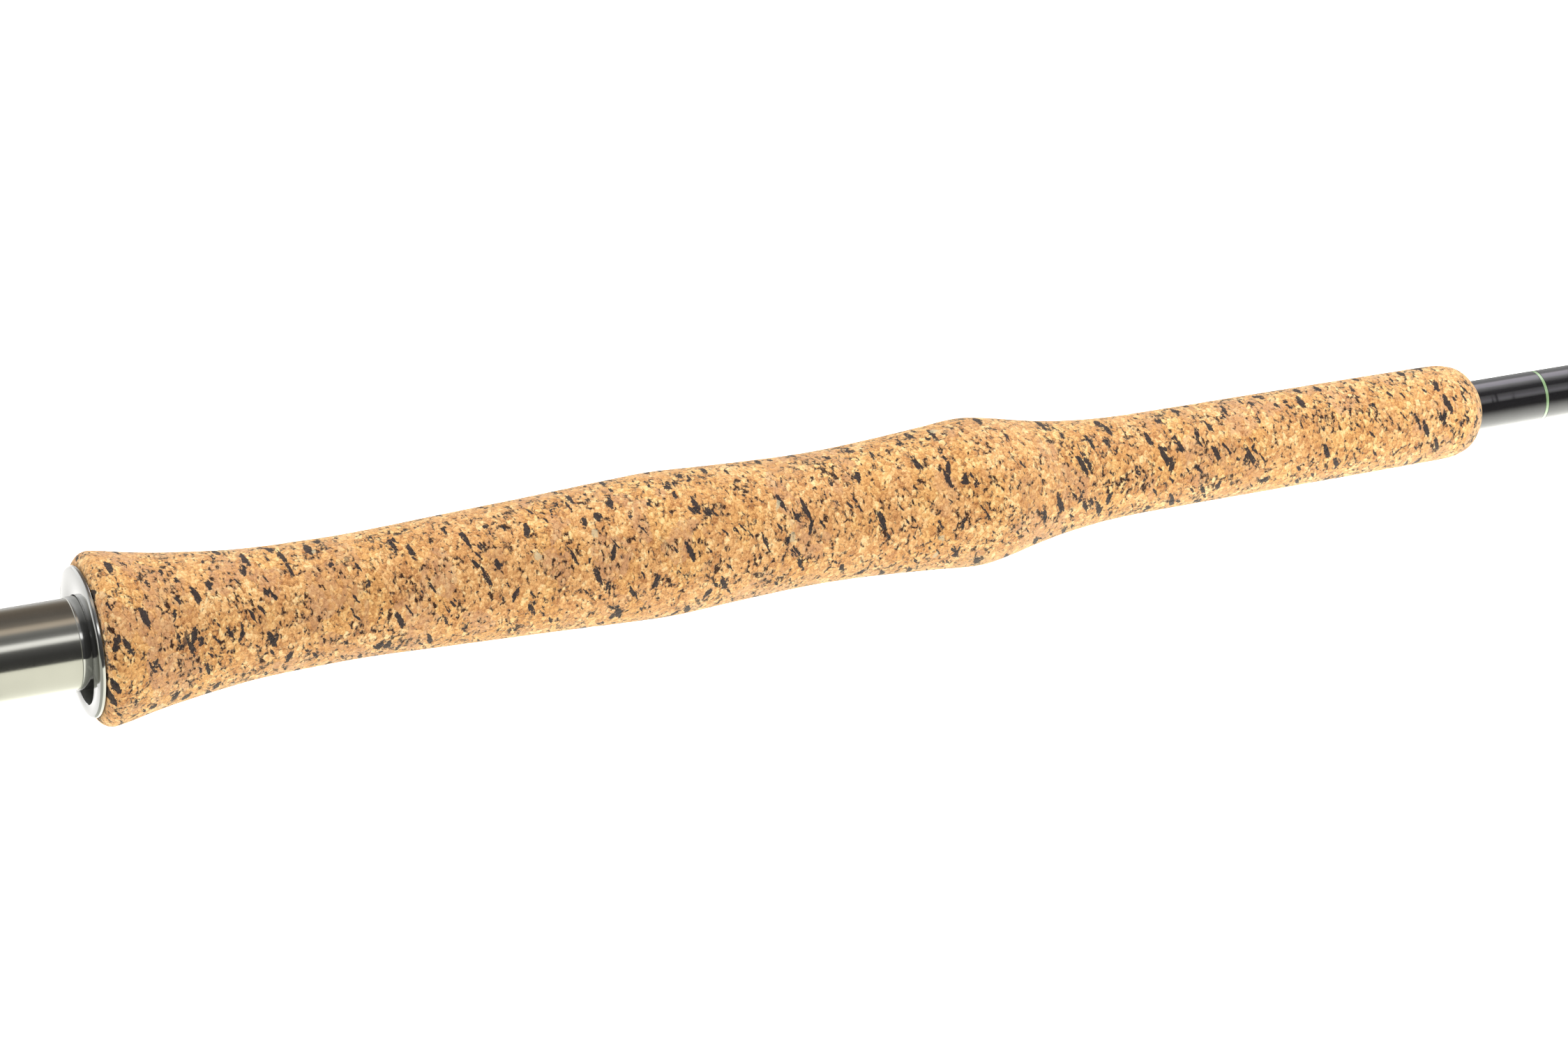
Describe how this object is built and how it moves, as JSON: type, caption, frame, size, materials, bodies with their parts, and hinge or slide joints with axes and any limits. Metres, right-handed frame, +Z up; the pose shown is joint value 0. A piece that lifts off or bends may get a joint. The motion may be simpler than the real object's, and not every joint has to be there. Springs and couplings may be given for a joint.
{
  "type": "two-handed fly rod butt section",
  "caption": "Butt section of a two-handed fly rod with long shaped composite cork grips, screw-locking reel seat, thread windings and stripping guide.",
  "frame": {"origin": "on the rod's axis, in the rear face of the fixed reel hood, where the reel seat meets the foregrip", "axes": "+X along the rod's axis to the tip; -Z is the reel and guide side; +Z up"},
  "size_m": [0.81, 0.0374, 0.0461],
  "materials": {
    "cork": "turned and sanded composite cork with dark chips, matte",
    "gunmetal": "satin gunmetal anodised aluminium",
    "polished": "polished bright aluminium",
    "carbon": "dark grey varnished carbon fibre tube",
    "winding": "black thread winding under clear gloss epoxy",
    "band": "pale green thread under clear gloss epoxy",
    "rubber": "matt black rubber",
    "nylon": "black nylon",
    "arbor": "rigid foam, unfinished",
    "ceramic": "polished dark ceramic",
    "steel": "dark plated stainless steel"
  },
  "bodies": {
    "rod": {"blank": "carbon", "butt_cap": "rubber", "butt_plug": "nylon", "butt_collar": "polished", "lower_grip": "cork", "seat_end_ring": "gunmetal", "seat_barrel": "gunmetal", "arbor_rear": "arbor", "arbor_middle": "arbor", "arbor_front": "arbor", "fore_hood": "polished", "foregrip": "cork", "grip_wrap": "winding", "grip_band": "band", "grip_wrap_front": "winding", "ferrule_wrap": "winding", "ferrule_band": "band", "guide_ring": "ceramic", "guide_frame": "steel", "guide_rear_wrap": "winding", "guide_front_wrap": "winding", "guide_rear_band": "band", "guide_front_band": "band", "ferrule_dot": "band"},
    "hood_slider": {"sliding_hood": "gunmetal", "hood_key": "steel", "slip_ring": "nylon"},
    "lock_nut_body": {"lock_nut": "gunmetal"},
    "washer_slider": {"jam_washer": "polished"},
    "jam_nut_body": {"jam_nut": "gunmetal"}
  },
  "joints": [
    {"name": "hood_slide", "type": "slide", "parent": "rod", "child": "hood_slider", "axis": [1, 0, 0], "range_m": [0, 0.026]},
    {"name": "lock_nut_turn", "type": "hinge", "parent": "hood_slider", "child": "lock_nut_body", "pos_m": [-0.0942, 0, 0], "axis": [1, 0, 0], "range_deg": [0, 6300]},
    {"name": "jam_slide", "type": "slide", "parent": "lock_nut_body", "child": "washer_slider", "axis": [1, 0, 0], "range_m": [0, 0.0024]},
    {"name": "jam_nut_turn", "type": "hinge", "parent": "washer_slider", "child": "jam_nut_body", "pos_m": [-0.1084, 0, 0], "axis": [1, 0, 0], "range_deg": [0, 600]}
  ],
  "couplings": [
    {"joint": "lock_nut_turn", "follows": "hood_slide", "rad_per_m": 4188.8},
    {"joint": "jam_nut_turn", "follows": "jam_slide", "rad_per_m": 4188.8}
  ]
}
